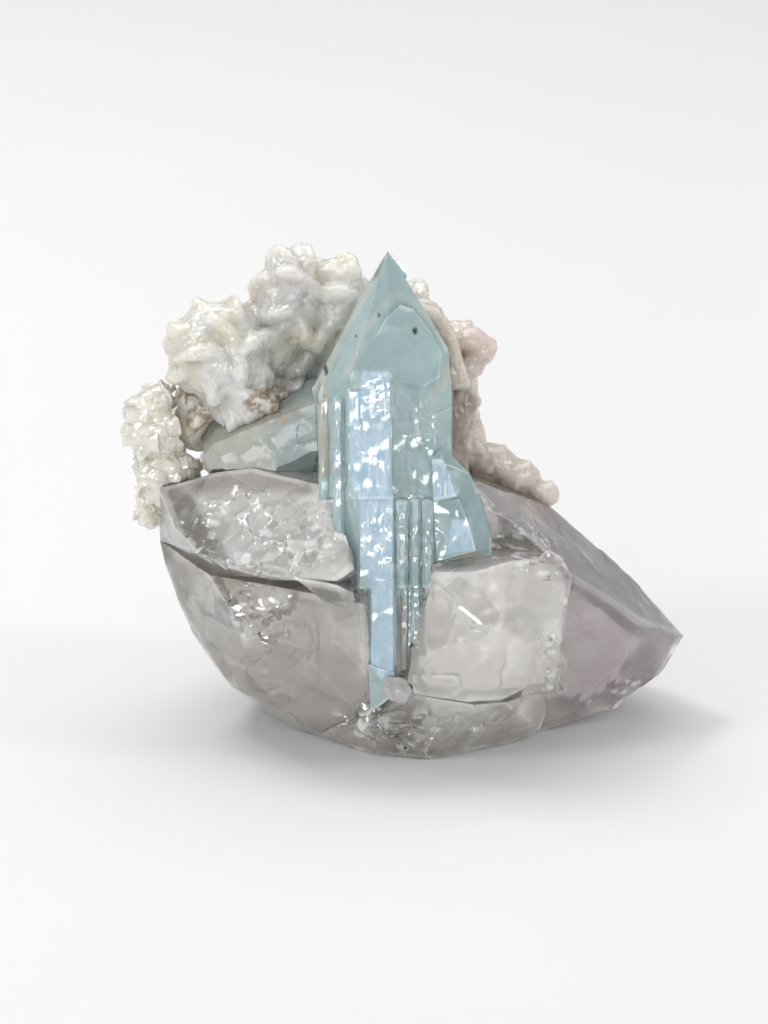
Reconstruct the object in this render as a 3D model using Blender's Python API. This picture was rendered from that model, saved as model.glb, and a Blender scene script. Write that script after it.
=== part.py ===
"""A loose mineral specimen: a pale blue beryl crystal standing in a broken lilac-grey quartz
crystal, with white rosettes of bladed feldspar grown round its back and sides.

Metres, +Z up. The specimen is seen from -Y, and the origin is under its middle, on the ground.
Lengths below are in millimetres until a mesh is made.
"""

import math
import random

import bmesh
import bpy
from mathutils import Matrix, Vector

MM = 0.001
GAP = 0.3  # clear space left between two pieces that touch
WELD = 0.002
HAIR = 0.03
BELOW = -0.6  # how far the chunks reach under the ground before the floor cut

# The beryl's front faces lean back as they rise: y of the front plane is FOOT_Y at FOOT_Z.
LEAN = 0.18
FOOT_Y = -14.5
FOOT_Z = 10.0

PALE_BLUE = (0.52, 0.68, 0.70)
GREY_BLUE = (0.42, 0.52, 0.53)
LILAC_GREY = (0.62, 0.58, 0.59)
CREAM_WHITE = (0.86, 0.84, 0.80)
WARM_WHITE = (0.84, 0.82, 0.78)


# Scene and mesh helpers


def clear_scene():
    for item in list(bpy.data.objects):
        bpy.data.objects.remove(item, do_unlink=True)


def add_object(name, mesh):
    item = bpy.data.objects.new(name, mesh)
    bpy.context.scene.collection.objects.link(item)
    return item


def mesh_from(bm, name):
    mesh = bpy.data.meshes.new(name)
    bm.to_mesh(mesh)
    bm.free()
    return mesh


def hull_mesh(points, grow=0.0):
    """The convex hull of the points, in metres. With grow, it stands off by that much all round.

    Each point is first moved by a hair, so that no two chunks have faces in exactly one plane.
    """
    bm = bmesh.new()
    steps = (-grow, grow) if grow else (0.0,)
    rng = random.Random(len(points) + round(1000 * sum(points[0])))
    for point in points:
        point = Vector(point) + Vector(rng.uniform(-HAIR, HAIR) for _ in range(3))
        for dx in steps:
            for dy in steps:
                for dz in steps:
                    corner = point + Vector((dx, dy, dz))
                    bm.verts.new(corner * MM)
    made = bmesh.ops.convex_hull(bm, input=bm.verts)
    inner = set(made["geom_interior"]) | set(made["geom_unused"])
    spare = [item for item in inner if isinstance(item, bmesh.types.BMVert)]
    bmesh.ops.delete(bm, geom=spare, context="VERTS")
    bmesh.ops.recalc_face_normals(bm, faces=bm.faces)
    return mesh_from(bm, "hull")


def helper(mesh):
    """A cutter or a chunk to fuse, which isn't a piece of the specimen."""
    item = add_object("helper", mesh)
    item.hide_render = True
    item.display_type = "WIRE"
    return item


def run_boolean(target, operation, others):
    """Applies one exact Boolean of the target with all the helpers, and removes the helpers."""
    group = bpy.data.collections.new("operands")
    bpy.context.scene.collection.children.link(group)
    for other in others:
        bpy.context.scene.collection.objects.unlink(other)
        group.objects.link(other)
    step = target.modifiers.new("step", "BOOLEAN")
    step.operation = operation
    step.solver = "EXACT"
    step.operand_type = "COLLECTION"
    step.collection = group
    step.use_self = operation == "UNION"
    bpy.context.view_layer.update()
    graph = bpy.context.evaluated_depsgraph_get()
    result = bpy.data.meshes.new_from_object(target.evaluated_get(graph))
    target.modifiers.clear()
    target.data = result
    for other in others:
        bpy.data.objects.remove(other, do_unlink=True)
    bpy.data.collections.remove(group)


def tidy_mesh(item, flat_angle=0.4):
    """Merges stray points and joins faces that lie in one plane."""
    bm = bmesh.new()
    bm.from_mesh(item.data)
    bmesh.ops.remove_doubles(bm, verts=bm.verts, dist=WELD * MM)
    bmesh.ops.dissolve_limit(
        bm, angle_limit=math.radians(flat_angle), verts=bm.verts, edges=bm.edges
    )
    bmesh.ops.triangulate(bm, faces=bm.faces)
    bm.to_mesh(item.data)
    bm.free()


def simplify(item, share):
    """Keeps about this share of the faces, taking away first the ones that shape it least."""
    step = item.modifiers.new("simplify", "DECIMATE")
    step.ratio = share
    bpy.context.view_layer.update()
    graph = bpy.context.evaluated_depsgraph_get()
    result = bpy.data.meshes.new_from_object(item.evaluated_get(graph))
    item.modifiers.clear()
    item.data = result


def keep_largest(item):
    """Deletes loose chips that a cut has left beside the main body."""
    bm = bmesh.new()
    bm.from_mesh(item.data)
    left = set(bm.verts)
    shells = []
    while left:
        shell = {left.pop()}
        edge_of_search = list(shell)
        while edge_of_search:
            vert = edge_of_search.pop()
            for edge in vert.link_edges:
                other = edge.other_vert(vert)
                if other not in shell:
                    shell.add(other)
                    edge_of_search.append(other)
        left -= shell
        shells.append(shell)
    shells.sort(key=len)
    for shell in shells[:-1]:
        bmesh.ops.delete(bm, geom=list(shell), context="VERTS")
    bm.to_mesh(item.data)
    bm.free()


def fuse(name, meshes):
    """One piece grown together from the given chunks."""
    first = add_object(name, meshes[0])
    run_boolean(first, "UNION", [helper(mesh) for mesh in meshes[1:]])
    tidy_mesh(first)
    return first


def cut(item, meshes):
    run_boolean(item, "DIFFERENCE", [helper(mesh) for mesh in meshes])
    keep_largest(item)
    tidy_mesh(item)


def paint(item, name, colour, roughness):
    material = bpy.data.materials.new(name)
    material.use_nodes = True
    shader = material.node_tree.nodes["Principled BSDF"]
    shader.inputs["Base Color"].default_value = (*colour, 1.0)
    shader.inputs["Roughness"].default_value = roughness
    shader.inputs["Metallic"].default_value = 0.0
    item.data.materials.clear()
    item.data.materials.append(material)


# The beryl: one prism with a pointed head, ledges and slim parallel columns on its front


def front_y(z):
    return FOOT_Y + LEAN * (z - FOOT_Z)


def leaning(corners, z):
    """Corners of a cross-section, each (x, depth behind the front plane), at one height."""
    return [(x, front_y(z) + depth, z) for x, depth in corners]


def column(left, right, proud, low, high, back=3.0, chamfer=0.35, crown=0.5):
    """A slim six-sided column on the front. proud is how far it stands out of the front plane."""
    ring = [
        (left, -proud + chamfer),
        (left + chamfer, -proud),
        (right - chamfer, -proud),
        (right, -proud + chamfer),
        (right, back),
        (left, back),
    ]
    crown_ring = [(x, depth + crown) for x, depth in ring[1:3]] + ring[4:]
    return leaning(ring, low) + leaning(ring, high - crown) + leaning(crown_ring, high)


def beryl_chunks():
    head_foot = [
        (-10.3, -3.0, 41.6),
        (-8.8, -6.2, 42.2),
        (-5.9, -7.6, 44.6),
        (-1.2, -7.9, 45.2),
        (3.4, -7.2, 43.4),
        (5.5, -4.9, 41.9),
    ]
    head_side = [(5.2, -4.6, 46.7), (3.9, -3.6, 48.9), (2.0, -1.8, 51.7)]
    head_back = [(-9.6, 2.2, 42.5), (-5.5, 5.2, 44.8), (0.5, 6.0, 45.5), (5.4, 1.6, 43.8)]
    head_low = leaning([(-9.6, 3.6), (-7.6, 1.7), (-1.1, 0.7), (3.5, 1.0), (5.6, 3.2)], 38.0)
    head_low += leaning([(5.9, 9.0), (1.0, 12.6), (-6.2, 12.0), (-9.9, 8.6)], 38.0)
    apex = [(-1.7, 0.0, 57.1), (-1.2, 0.6, 56.6)]
    head = head_foot + head_side + head_back + head_low + [(0.35, -0.5, 54.0), apex[0]]
    tip = apex + [(0.6, 0.1, 54.9), (0.5, -0.6, 54.2), (-4.6, -0.8, 52.0), (-1.4, 2.4, 52.0)]
    tip += [(-0.6, -2.6, 51.6)]

    ring = [(-9.6, 3.6), (-7.7, 1.9), (-6.1, 0.9), (-1.1, 0.7), (3.5, 1.0), (5.6, 3.2)]
    ring += [(5.9, 9.0), (1.0, 12.6), (-6.2, 12.0), (-9.9, 8.6)]
    shaft = leaning(ring, 40.5) + leaning(ring, 30.5)
    narrow = [(-5.4, 3.6), (-4.4, 1.6), (-0.8, 1.0), (3.4, 1.4), (4.4, 3.4), (4.4, 8.0), (-4.6, 8.0)]
    taper = leaning(ring[:6] + [(5.9, 9.0), (1.0, 11.6), (-6.2, 11.0), (-9.7, 8.0)], 31.0)
    taper += leaning(narrow, 19.0)
    root = leaning(narrow, 20.5) + leaning([(-3.9, 0.9), (-0.8, 0.9), (0.6, 4.5), (-3.4, 4.5)], 9.0)

    skirt = [
        (4.6, -7.6, 36.4),
        (7.8, -8.2, 33.0),
        (9.5, -8.8, 28.4),
        (10.2, -9.6, 25.9),
        (10.2, -10.0, 23.3),
        (8.4, -10.6, 22.6),
        (3.4, -11.0, 22.6),
        (3.4, -9.6, 35.6),
        (3.4, -4.0, 36.0),
        (8.2, -3.5, 30.0),
        (9.4, -5.0, 22.6),
        (3.4, -4.0, 22.6),
    ]
    upper_panel = [
        (3.4, -9.9, 35.6), (4.5, -9.8, 35.7), (6.2, -10.2, 31.2), (3.5, -10.7, 30.8),
        (3.4, -8.5, 35.6), (4.5, -8.5, 35.7), (6.2, -8.5, 31.2), (3.5, -8.5, 30.8),
    ]
    lower_panel = [
        (3.5, -10.3, 30.6), (6.5, -10.0, 30.8), (7.6, -10.8, 27.9), (8.4, -11.3, 24.9),
        (3.9, -11.9, 23.9), (3.5, -8.5, 30.6), (6.5, -8.5, 30.8), (8.2, -8.8, 24.9),
        (3.9, -8.8, 23.9),
    ]
    foot_wedge = [
        (-3.9, -14.4, 12.0), (-3.7, -14.7, 6.2), (-1.1, -14.7, 8.3), (-0.9, -14.4, 11.0),
        (-3.8, -11.0, 12.0), (-3.5, -12.0, 7.0), (-1.2, -12.0, 8.6), (-1.0, -11.0, 11.0),
    ]
    chunks = [head, tip, shaft, taper, root, skirt, upper_panel, lower_panel, foot_wedge]
    chunks += [
        column(-5.9, -1.1, 0.35, 31.1, 45.4),
        column(-6.3, -4.6, 0.60, 39.5, 43.8, back=1.5),
        column(-5.2, -0.8, -0.15, 20.6, 32.0),
        column(-3.9, -0.7, -0.10, 9.4, 22.0, crown=0.3),
        column(-7.9, -6.6, -0.70, 24.5, 42.6, back=4.0, crown=0.8),
        column(-9.5, -8.2, -2.30, 29.5, 42.8, back=6.0, crown=1.0),
    ]
    flutes = [(-0.7, 0.7, 0.15), (0.8, 2.1, -0.15), (2.2, 3.5, 0.05)]
    for left, right, proud in flutes:
        chunks.append(column(left, right, proud, 20.8, 30.9, crown=0.25))
    slim_columns = [
        (-0.4, 0.9, -0.9, 11.0, 21.6),
        (1.0, 2.3, -0.6, 14.2, 21.4),
        (2.4, 3.4, -1.0, 13.0, 21.2),
    ]
    for left, right, proud, low, high in slim_columns:
        chunks.append(column(left, right, proud, low, high, crown=0.2))
    return chunks


def growth_shield():
    """The low rounded plate that a last growth layer leaves on the head's front face."""
    outline = [
        (-5.0, -7.9, 44.9), (-3.3, -6.2, 48.3), (-1.9, -4.7, 50.6), (-0.2, -3.8, 51.9),
        (1.2, -3.9, 51.4), (3.2, -4.6, 48.9), (4.4, -5.6, 46.6), (4.2, -6.4, 44.0),
        (2.4, -7.6, 43.4),
    ]
    raised = [(x, y - 0.35, z + 0.2) for x, y, z in outline]
    sunk = [(x * 0.95, y + 1.6, z - 0.9) for x, y, z in outline]
    return raised + sunk


def side_beryl_chunks():
    """A smaller beryl lying behind the main one, its end going down to the left."""
    near, far = Vector((-8.0, 0.5, 36.5)), Vector((-22.0, 0.2, 30.6))
    along = (far - near).normalized()
    across = along.cross(Vector((0, 1, 0))).normalized()
    other = along.cross(across)
    radius = 5.2
    corners = []
    for end, size in ((near, radius), (far - along * 2.0, radius), (far, radius * 0.72)):
        for k in range(6):
            angle = math.radians(60 * k + 18)
            spoke = across * math.cos(angle) + other * math.sin(angle)
            corners.append(tuple(end + spoke * size))
    return [corners]


# The quartz: convex chunks that share one broken crystal


def quartz_chunks():
    upper_left = [
        (-28.1, -3.0, 29.4), (-21.5, -4.0, 31.7), (-17.1, -5.0, 32.5), (-11.7, -7.0, 32.1),
        (-8.3, -8.0, 31.3), (-26.0, -8.0, 26.3), (-23.2, -11.0, 24.5), (-20.1, -12.4, 23.2),
        (-16.0, -14.2, 22.7), (-12.2, -14.6, 23.1), (-7.5, -14.6, 22.5), (-5.4, -13.2, 23.5),
        (-28.2, -2.0, 22.2), (-27.0, 4.5, 25.5), (-19.0, 8.5, 27.5), (-8.0, 9.0, 28.5),
        (-23.0, 9.0, 18.0), (-8.0, 10.0, 18.0), (-6.0, -8.0, 19.0), (-21.0, -8.0, 20.5),
    ]
    lower_left = [
        (-28.2, -2.0, 22.2), (-27.8, -2.0, 19.3), (-26.1, -3.0, 14.3), (-24.7, -3.0, 10.9),
        (-22.6, -3.0, 7.4), (-19.9, -3.0, 3.6), (-15.5, -2.2, BELOW), (-11.4, -6.9, BELOW),
        (-8.5, -8.0, BELOW), (-22.2, -9.2, 21.0), (-19.9, -11.4, 17.9), (-17.9, -12.2, 13.8),
        (-19.8, -8.0, 6.5), (-13.1, -9.5, 2.8), (-9.6, -9.4, 0.9), (-3.7, -14.2, 5.8),
        (-4.3, -14.0, 19.6), (-12.0, -12.6, 20.5), (-25.0, 6.0, 18.0), (-20.0, 12.0, 12.0),
        (-15.0, 9.0, BELOW), (-4.0, 13.0, 22.0), (-3.0, 12.0, BELOW), (-3.0, -9.0, BELOW),
    ]
    ledge = [
        (-12.4, -14.8, 23.2), (-7.5, -15.4, 22.4), (-5.5, -15.2, 21.4), (-5.3, -14.8, 20.4),
        (-6.9, -15.0, 19.2), (-8.6, -14.6, 19.6), (-10.4, -13.6, 21.4), (-6.0, -10.0, 21.0),
        (-11.0, -10.0, 22.0),
    ]
    front = [
        (3.6, -14.0, 23.4), (8.3, -14.7, 23.7), (17.4, -11.0, 24.7), (19.6, -12.0, 22.3),
        (18.6, -13.8, 18.6), (15.2, -15.6, 15.2), (17.9, -14.2, 11.2), (11.2, -15.7, 8.2),
        (7.5, -16.6, 8.3), (3.2, -16.6, 9.2), (5.2, -17.2, 16.0), (6.4, -16.5, 20.4),
        (9.4, -17.2, 18.2),
        (0.4, -15.6, 10.5), (4.0, -7.0, 23.4), (17.0, -6.0, 23.0), (17.0, -7.0, 8.0),
        (1.0, -8.0, 8.0),
    ]
    spur = [
        (15.2, -15.4, 15.2), (18.5, -14.2, 10.9), (19.3, -12.6, 7.7), (16.4, -14.6, 9.2),
        (13.6, -14.6, 8.3), (15.0, -9.0, 15.0), (17.0, -8.0, 7.5),
    ]
    right = [
        (7.9, -6.0, 31.5), (8.2, 4.0, 28.3), (17.6, 4.5, 24.1), (23.7, 4.5, 17.6),
        (27.9, 3.0, 14.9), (30.7, 2.0, 11.7), (32.9, 0.0, 9.6), (33.6, -0.2, 9.2),
        (9.7, -9.0, 29.0), (12.7, -9.2, 27.3), (19.9, -9.4, 21.0), (23.1, -8.4, 18.3),
        (28.1, -6.0, 13.9), (32.3, -1.0, 8.5), (31.3, -2.0, 5.9), (29.1, -3.0, 4.2),
        (25.1, -4.6, 1.9), (18.6, -7.0, 0.9), (14.5, -7.4, BELOW), (18.7, -3.0, BELOW),
        (26.0, 8.0, 9.0), (23.0, 9.0, 3.0), (16.0, 12.5, 18.0), (4.0, 14.0, 22.0),
        (15.0, 10.0, BELOW), (1.0, 12.0, BELOW), (4.0, -8.0, 26.0), (4.0, -8.0, 4.0),
    ]
    lobe = [
        (-9.6, -9.6, 0.9), (-7.6, -12.2, 3.4), (-3.7, -14.6, 4.8), (0.6, -15.6, 6.4),
        (1.8, -15.8, 9.0), (8.2, -16.2, 7.7), (12.0, -14.2, 7.2), (16.2, -9.6, 1.4),
        (-8.5, -8.0, BELOW), (-3.1, -13.1, BELOW), (2.7, -14.6, BELOW), (6.7, -13.1, BELOW),
        (11.7, -10.4, BELOW), (14.5, -7.4, BELOW), (18.0, -6.0, 5.0), (-6.0, -4.0, 6.0),
        (14.0, 2.0, BELOW), (-6.0, 2.0, BELOW),
    ]
    back = [
        (-9.0, 11.5, 24.5), (9.0, 12.5, 23.5), (-8.0, 14.0, 12.0), (10.0, 14.2, 12.0),
        (-9.0, 11.0, BELOW), (9.0, 11.5, BELOW), (-9.0, 0.0, BELOW), (10.0, 0.0, BELOW),
        (-9.0, 0.0, 24.5), (9.0, 0.0, 23.5),
    ]
    bead = [
        (-1.9, -15.4, 10.9), (0.2, -15.6, 11.0), (1.2, -16.0, 9.6), (0.2, -16.4, 8.0),
        (-1.4, -16.2, 8.2), (-2.2, -15.8, 9.4), (-0.6, -16.6, 9.6), (-0.4, -12.0, 9.6),
    ]
    teeth = [
        (1.0, -15.8, 11.6), (6.4, -17.3, 12.0), (6.8, -17.4, 10.2), (5.4, -17.2, 9.0),
        (1.2, -16.4, 9.4), (3.4, -16.8, 12.0), (3.0, -12.0, 10.0),
    ]
    return [lower_left, upper_left, back, ledge, front, spur, right, lobe, bead, teeth]


def scoop(centre, radii, turn=(0.0, 0.0, 0.0), detail=3):
    """A rounded cutter for a shell-shaped fracture, as a stretched ball."""
    bm = bmesh.new()
    place = Matrix.Translation(Vector(centre) * MM)
    for axis, angle in zip("XYZ", turn):
        place = place @ Matrix.Rotation(math.radians(angle), 4, axis)
    place = place @ Matrix.Diagonal((*(Vector(radii) * MM), 1.0))
    bmesh.ops.create_icosphere(bm, subdivisions=detail, radius=1.0, matrix=place)
    return mesh_from(bm, "scoop")


def fracture_scoops():
    """Centre, radii and turn of each hollow that breaking left in the quartz."""
    hollows = [
        ((-19.5, -14.6, 29.3), (6.0, 3.6, 3.0), (0, 18, 0)),
        ((-11.5, -15.8, 28.0), (4.6, 4.2, 3.4), (0, -12, 0)),
        ((-22.0, -13.5, 20.6), (5.4, 3.4, 1.9), (0, 14, 0)),
        ((-15.4, -15.2, 15.6), (3.2, 3.0, 4.6), (0, 20, 0)),
        ((8.6, -18.6, 4.2), (4.4, 3.6, 2.4), (0, 0, 0)),
        ((0.0, -17.6, 3.4), (4.0, 3.4, 2.2), (0, 8, 0)),
        ((21.5, -14.8, 12.4), (3.0, 4.6, 6.4), (0, 28, 0)),
        ((14.0, -13.6, 27.6), (4.4, 3.8, 2.4), (0, 35, 0)),
        ((28.6, -6.4, 3.2), (3.6, 3.0, 2.0), (0, -30, 0)),
        ((17.0, 27.0, 13.0), (14.0, 16.0, 12.0), (10, 0, 0)),
        ((-14.0, 25.0, 16.0), (13.0, 15.0, 11.0), (0, 20, 0)),
        ((2.0, 29.5, 5.0), (12.0, 17.0, 8.0), (0, 0, 10)),
    ]
    return [scoop(*hollow) for hollow in hollows]


# The feldspar: rosettes of thin rounded blades

# Shares of a blade's size: its reach outwards, its thickness, how deep its middle is seated
# under the head's outside, and how far it stands out of the core.
BLADE_REACH = 0.95
BLADE_THICKNESS = 0.45
BLADE_SEAT = 0.85
BLADE_PROUD = 0.28
BLADE_WIDTHS = (1.0, 1.35)
BLADE_SIZES = (0.85, 1.15)
BLADE_TILT = 0.4
ROOTED_COSINE = 0.75
KEPT_FACES = 0.36


def blade(centre, outward, flat, size, rng, angular):
    """One tablet. outward is the way it reaches, and flat is square to its broad face."""
    bm = bmesh.new()
    outward = outward.normalized()
    side = flat.cross(outward).normalized()
    flat = outward.cross(side).normalized()
    frame = Matrix((outward, side, flat)).transposed().to_4x4()
    sizes = Vector((BLADE_REACH, rng.uniform(*BLADE_WIDTHS), BLADE_THICKNESS)) * size * MM
    place = Matrix.Translation(centre * MM) @ frame @ Matrix.Diagonal((*sizes, 1.0))
    if angular:
        bmesh.ops.create_cone(
            bm, segments=6, radius1=1.0, radius2=0.8, depth=1.6, cap_ends=True, matrix=place
        )
    else:
        bmesh.ops.create_icosphere(bm, subdivisions=2, radius=1.0, matrix=place)
    return mesh_from(bm, "blade")


def even_directions(count):
    """Directions spread evenly over a ball, in a spiral."""
    golden = math.pi * (3 - math.sqrt(5))
    ways = []
    for k in range(count):
        height = 1 - 2 * (k + 0.5) / count
        spread = math.sqrt(1 - height * height)
        ways.append(Vector((spread * math.cos(golden * k), spread * math.sin(golden * k), height)))
    return ways


def lump(centre, radii, blades, size, rooted=(0.0, 0.0, -1.0)):
    """What one rounded head is made from. It has no blades on the side that it is rooted by."""
    return {"centre": centre, "radii": radii, "blades": blades, "size": size, "rooted": rooted}


def lump_meshes(head, rng, angular):
    """One rounded head of a rosette: a core, and blades that overlap over it like shingles."""
    centre, radii, size = Vector(head["centre"]), Vector(head["radii"]), head["size"]
    core = radii - Vector((BLADE_PROUD * size,) * 3)
    meshes = [scoop(centre, core, detail=2)]
    for way in even_directions(head["blades"]):
        if way.dot(Vector(head["rooted"]).normalized()) > ROOTED_COSINE:
            continue
        own_size = size * rng.uniform(*BLADE_SIZES)
        seat = radii - Vector((BLADE_SEAT * own_size,) * 3)
        skin = centre + Vector(way[i] * seat[i] for i in range(3))
        around = way.cross(Vector((0.3, -0.8, 0.5))).normalized()
        tilt = Vector(rng.uniform(-BLADE_TILT, BLADE_TILT) for _ in range(3))
        flat = around * 0.8 + way * 0.5 + tilt
        meshes.append(blade(skin, way, flat, own_size, rng, angular))
    return meshes


def broad_tablet():
    """The one large flat tablet of feldspar, behind the beryl's right shoulder."""
    front_face = [
        (1.8, 1.6, 50.0), (4.2, 2.0, 49.5), (5.8, 1.9, 47.0), (6.7, 1.6, 44.6), (8.0, 1.2, 40.1),
        (6.9, 1.0, 39.7), (3.2, 0.8, 39.8),
    ]
    back_face = [(x * 0.96, y + 3.2, z) for x, y, z in front_face]
    return front_face + back_face


def knob_meshes():
    """A smooth knob of three swellings at the tablet's right."""
    swellings = [
        ((8.0, 4.8, 44.7), (2.0, 1.8, 1.6)),
        ((9.4, 4.4, 43.8), (1.8, 1.7, 1.7)),
        ((8.2, 4.0, 42.0), (1.5, 1.5, 1.9)),
    ]
    return [scoop(centre, radii, detail=2) for centre, radii in swellings]


def make_rosettes(name, lumps, seed, angular=False, others=()):
    rng = random.Random(seed)
    meshes = list(others)
    for head in lumps:
        meshes += lump_meshes(head, rng, angular)
    rosettes = fuse(name, meshes)
    if not angular:
        simplify(rosettes, KEPT_FACES)
    return rosettes


ROSETTE_LUMPS = [
    lump((-12.7, 5.5, 49.3), (5.2, 5.0, 7.2), 14, 2.8),
    lump((-7.8, 6.3, 47.5), (5.2, 5.0, 7.7), 11, 2.8, (1, 0, 0)),
    lump((-16.0, 4.8, 45.0), (4.8, 4.6, 5.6), 6, 2.5),
    lump((-21.1, 2.5, 44.0), (7.1, 6.2, 7.0), 19, 2.8),
    lump((-17.8, 1.5, 37.7), (5.2, 4.7, 5.3), 11, 2.3),
    lump((-13.4, 2.2, 37.8), (3.9, 3.4, 3.8), 7, 2.0),
    lump((-23.8, 2.6, 36.0), (3.8, 3.6, 5.0), 6, 2.2),
    lump((-13.0, 8.0, 38.5), (8.0, 4.6, 7.0), 8, 3.5, (0, -1, -1)),
    lump((-16.0, 7.0, 31.5), (9.0, 3.8, 5.6), 6, 3.5, (0, -1, -1)),
    lump((-1.0, 11.5, 41.5), (8.0, 4.4, 9.0), 10, 3.5, (0, -1, 0)),
    lump((-1.0, 12.0, 30.5), (8.0, 3.8, 7.0), 8, 3.5, (0, -1, 0)),
    lump((6.2, 7.8, 42.4), (3.8, 3.8, 4.2), 8, 1.8, (0, -1, 0.6)),
    lump((6.0, 7.2, 36.8), (3.7, 4.4, 6.0), 11, 1.8, (0, -1, 0)),
    lump((5.4, 4.6, 33.5), (3.4, 4.2, 6.4), 9, 1.8, (-0.4, -1, 0)),
    lump((7.0, 7.2, 31.2), (3.6, 3.8, 4.6), 9, 1.8, (0, -1, 0)),
    lump((10.4, 7.2, 28.5), (3.5, 3.2, 2.7), 6, 1.2),
    lump((13.4, 7.0, 26.8), (3.6, 3.2, 2.5), 6, 1.2),
    lump((16.4, 6.4, 24.7), (2.7, 2.6, 2.0), 5, 1.1),
]
CLUSTER_LUMPS = [
    lump((-28.2, 2.2, 35.2), (4.8, 4.4, 5.3), 26, 1.7),
    lump((-27.4, 1.6, 28.9), (4.3, 4.0, 5.4), 22, 1.6),
    lump((-29.6, 0.7, 25.0), (2.1, 2.4, 2.7), 8, 1.2),
]


# Making and placing the pieces


def floor_slab(reach=90.0):
    corners = [(x, y, z) for x in (-reach, reach) for y in (-reach, reach) for z in (-reach, 0.0)]
    return hull_mesh(corners)


def grown(chunks):
    return [hull_mesh(points, GAP) for points in chunks]


def grown_cores(lumps):
    """Cutters that follow the outside of a rosette's heads, blades included, with the gap."""
    meshes = []
    for head in lumps:
        radii = Vector(head["radii"]) + Vector((0.2 * head["size"] + GAP,) * 3)
        meshes.append(scoop(head["centre"], radii, detail=2))
    return meshes


def build():
    clear_scene()
    beryl_parts = beryl_chunks() + [growth_shield()]
    beryl = fuse("aquamarine_crystal", [hull_mesh(points) for points in beryl_parts])
    side_parts = side_beryl_chunks()
    side = fuse("aquamarine_side_crystal", [hull_mesh(points) for points in side_parts])
    quartz_parts = quartz_chunks()
    quartz = fuse("quartz_matrix", [hull_mesh(points) for points in quartz_parts])
    cut(quartz, fracture_scoops() + [floor_slab()])
    cut(quartz, grown(beryl_parts))
    cut(side, grown(beryl_parts) + grown(quartz_parts))

    smooth_growths = [hull_mesh(broad_tablet())] + knob_meshes()
    rosettes = make_rosettes("albite_rosettes", ROSETTE_LUMPS, 11, others=smooth_growths)
    cluster = make_rosettes("albite_cluster", CLUSTER_LUMPS, 37, angular=True)
    rock = beryl_parts + side_parts + quartz_parts
    cut(rosettes, grown(rock))
    cut(cluster, grown(rock) + grown_cores(ROSETTE_LUMPS[3:7]))

    paint(beryl, "blue beryl", PALE_BLUE, 0.15)
    paint(side, "grey-blue beryl", GREY_BLUE, 0.2)
    paint(quartz, "lilac-grey quartz", LILAC_GREY, 0.12)
    paint(rosettes, "white feldspar", CREAM_WHITE, 0.35)
    paint(cluster, "clear-edged feldspar", WARM_WHITE, 0.25)
    return [beryl, side, quartz, rosettes, cluster]


def stand_on_origin(pieces):
    """Moves every mesh so that the origin is under the middle of the whole, on the ground."""
    corners = [vert.co for item in pieces for vert in item.data.vertices]
    lows = Vector(min(co[i] for co in corners) for i in range(3))
    highs = Vector(max(co[i] for co in corners) for i in range(3))
    shift = Vector((-(lows.x + highs.x) / 2, -(lows.y + highs.y) / 2, -lows.z))
    for item in pieces:
        item.data.transform(Matrix.Translation(shift))


PIECES = build()
stand_on_origin(PIECES)
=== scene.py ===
import math
import random

import bmesh
import bpy
import numpy as np
from mathutils import Matrix, Vector, noise
from mathutils.bvhtree import BVHTree


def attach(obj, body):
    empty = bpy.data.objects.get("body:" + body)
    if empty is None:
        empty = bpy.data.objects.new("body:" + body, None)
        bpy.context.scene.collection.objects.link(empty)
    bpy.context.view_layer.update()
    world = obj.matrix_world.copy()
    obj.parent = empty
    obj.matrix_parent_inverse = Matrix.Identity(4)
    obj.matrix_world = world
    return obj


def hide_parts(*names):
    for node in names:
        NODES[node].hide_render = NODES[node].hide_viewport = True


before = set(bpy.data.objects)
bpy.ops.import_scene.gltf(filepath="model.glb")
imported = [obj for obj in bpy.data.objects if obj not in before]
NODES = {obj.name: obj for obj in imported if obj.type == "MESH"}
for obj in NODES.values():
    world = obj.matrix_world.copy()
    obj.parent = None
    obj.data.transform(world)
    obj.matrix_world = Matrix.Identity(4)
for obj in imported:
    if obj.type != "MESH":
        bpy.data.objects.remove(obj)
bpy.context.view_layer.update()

# Lengths and places are in millimetres in the part's frame, until a mesh or a lamp is placed.
MM = 0.001

CAMERA_AIM = (-2.5, 0.3, 25.1)
CAMERA_HEIGHT_ANGLE = 22.0
CAMERA_DISTANCE = 400.0
CAMERA_LENS = 120.0

QUARTZ_CELL = 0.25
BERYL_CELL = 0.19
ALBITE_CELL = 0.21
CLUSTER_CELL = 0.15


# Meshes


def solid_copy(node, name):
    """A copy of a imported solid, with the points that its loose triangles share made one."""
    bm = bmesh.new()
    bm.from_mesh(NODES[node].data)
    bmesh.ops.remove_doubles(bm, verts=bm.verts, dist=0.002 * MM)
    mesh = bpy.data.meshes.new(name)
    bm.to_mesh(mesh)
    bm.free()
    # The solid's own stored normals no longer fit once the surface is worked.
    for extra in [item.name for item in mesh.attributes if not item.is_required]:
        mesh.attributes.remove(mesh.attributes[extra])
    piece = bpy.data.objects.new(name, mesh)
    bpy.context.scene.collection.objects.link(piece)
    return piece


def apply_modifiers(piece):
    bpy.context.view_layer.update()
    graph = bpy.context.evaluated_depsgraph_get()
    result = bpy.data.meshes.new_from_object(piece.evaluated_get(graph))
    piece.modifiers.clear()
    piece.data = result


def reskin(piece, cell):
    """Gives the piece an even skin of small faces, which the fine relief is then worked into."""
    step = piece.modifiers.new("skin", "REMESH")
    step.mode = "VOXEL"
    step.voxel_size = cell * MM
    apply_modifiers(piece)


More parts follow.
